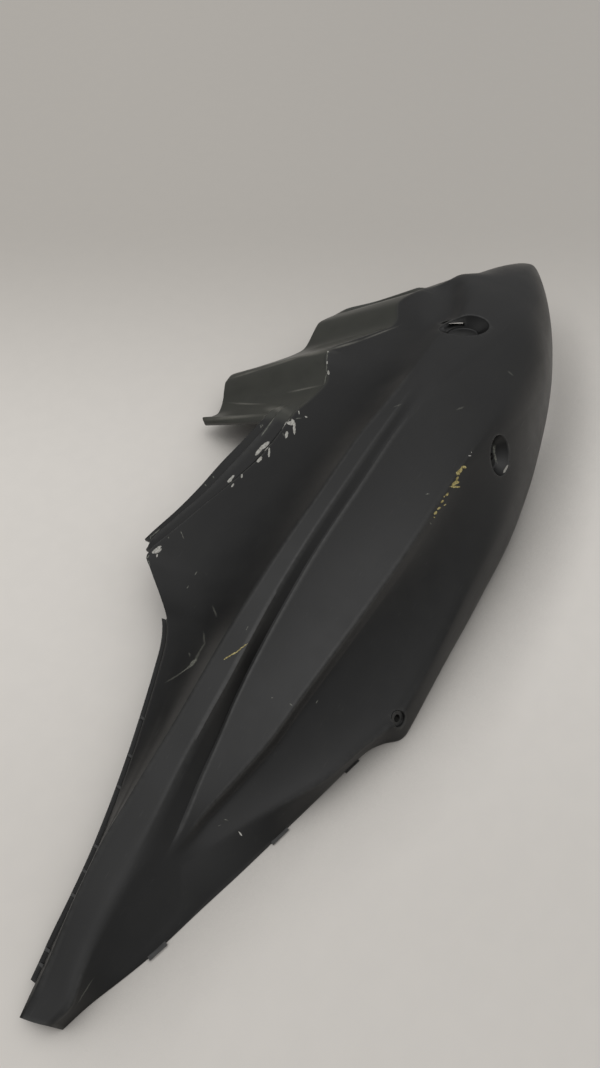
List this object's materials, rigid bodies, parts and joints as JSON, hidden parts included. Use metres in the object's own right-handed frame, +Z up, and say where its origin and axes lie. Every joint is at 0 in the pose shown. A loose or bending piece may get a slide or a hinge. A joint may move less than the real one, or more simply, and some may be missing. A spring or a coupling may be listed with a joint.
{
  "type": "scooter side panel",
  "caption": "Long curved scooter side cover with a raised blade, crest rib, stepped seat rail and ledge, recessed screw seats and edge clip tongues, closing the body below the seat.",
  "frame": {"origin": "middle of the bounding box in plan, on the surface the panel lies on", "axes": "+X from the narrow front tip to the rounded tail, +Y from the low edge toward the seat ledge, +Z up out of the painted outer face as the panel lies outer face up"},
  "size_m": [0.7276, 0.2794, 0.1015],
  "materials": {
    "painted_black": "satin black paint over moulded plastic, chipped and scratched along its edges"
  },
  "bodies": {
    "root": {"side_panel": "painted_black"}
  },
  "joints": []
}
